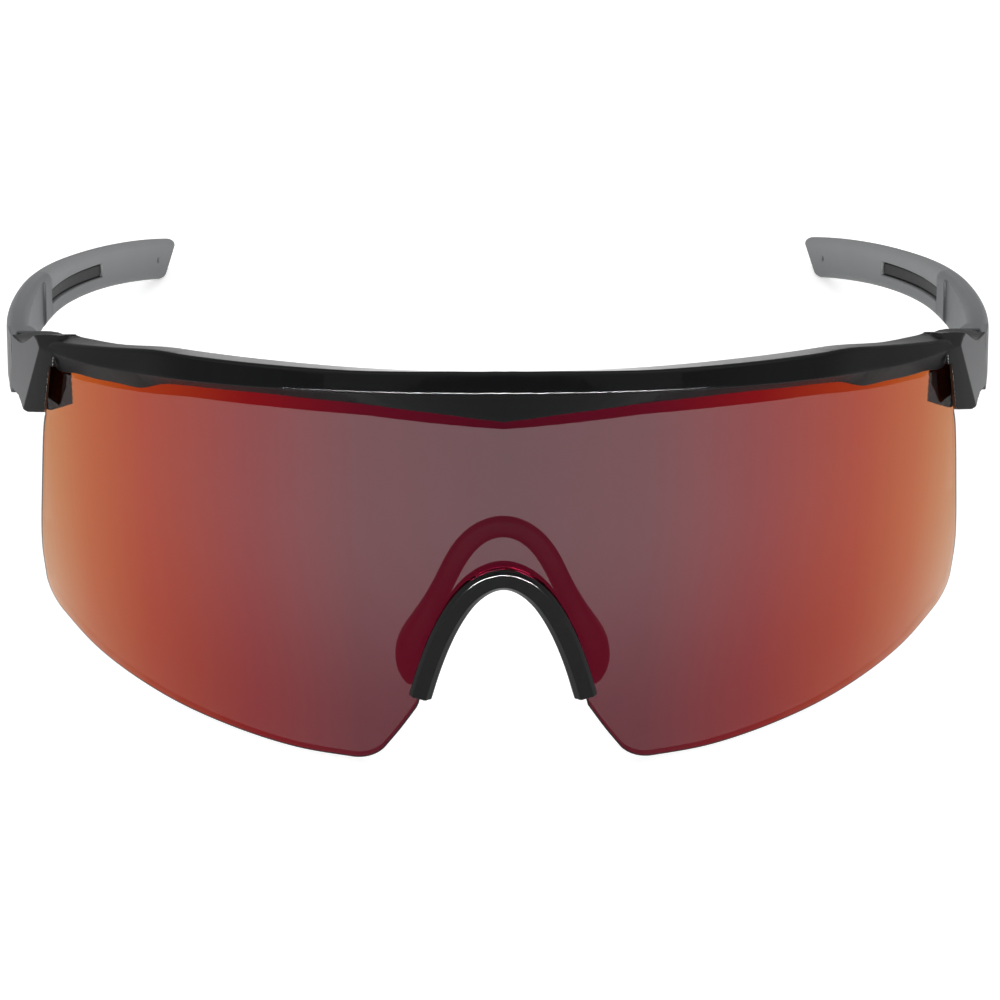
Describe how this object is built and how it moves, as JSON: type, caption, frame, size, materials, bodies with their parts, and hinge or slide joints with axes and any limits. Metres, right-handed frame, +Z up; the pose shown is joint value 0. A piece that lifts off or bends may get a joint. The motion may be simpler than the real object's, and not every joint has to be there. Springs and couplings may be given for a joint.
{
  "type": "wraparound sport sunglasses",
  "caption": "Semi-rimless shield sunglasses with a mirrored wraparound lens, a clip-on nose bridge and folding temples with rubber sleeves.",
  "frame": {"origin": "centre of the bounding box in plan, on the surface that the glasses rest on", "axes": "+X to the wearer's left, +Y from the lens towards the ear tips, +Z up; the glasses lie open on the lens's lower edge and the two temple tips"},
  "size_m": [0.15, 0.1608, 0.063],
  "materials": {
    "frame_nylon": "gloss black in the middle, fading to satin dark grey at the ends",
    "lens_mirror": "tinted polycarbonate with a red-orange mirror coat",
    "clip_gloss": "moulded gloss black",
    "saddle_rubber": "soft matt rubber",
    "temple_nylon": "satin nylon",
    "sleeve_rubber": "matt grey rubber",
    "screw_steel": "turned steel",
    "insert_brass": "turned brass"
  },
  "bodies": {
    "front": {"brow_frame": "frame_nylon", "shield_lens": "lens_mirror", "nose_clip": "clip_gloss", "nose_saddle": "saddle_rubber", "hinge_screw_left": "screw_steel", "hinge_screw_right": "screw_steel", "hinge_insert_left": "insert_brass", "hinge_insert_right": "insert_brass"},
    "temple_left": {"temple_arm_left": "temple_nylon", "temple_sleeve_left": "sleeve_rubber"},
    "temple_right": {"temple_arm_right": "temple_nylon", "temple_sleeve_right": "sleeve_rubber"}
  },
  "joints": [
    {"name": "left_temple_fold", "type": "hinge", "parent": "front", "child": "temple_left", "pos_m": [0.0678, -0.03322, 0.04122], "axis": [0, 0.2854, 0.9584], "range_deg": [0, 90]},
    {"name": "right_temple_fold", "type": "hinge", "parent": "front", "child": "temple_right", "pos_m": [-0.0678, -0.03322, 0.04122], "axis": [0, -0.2854, -0.9584], "range_deg": [0, 79]}
  ]
}
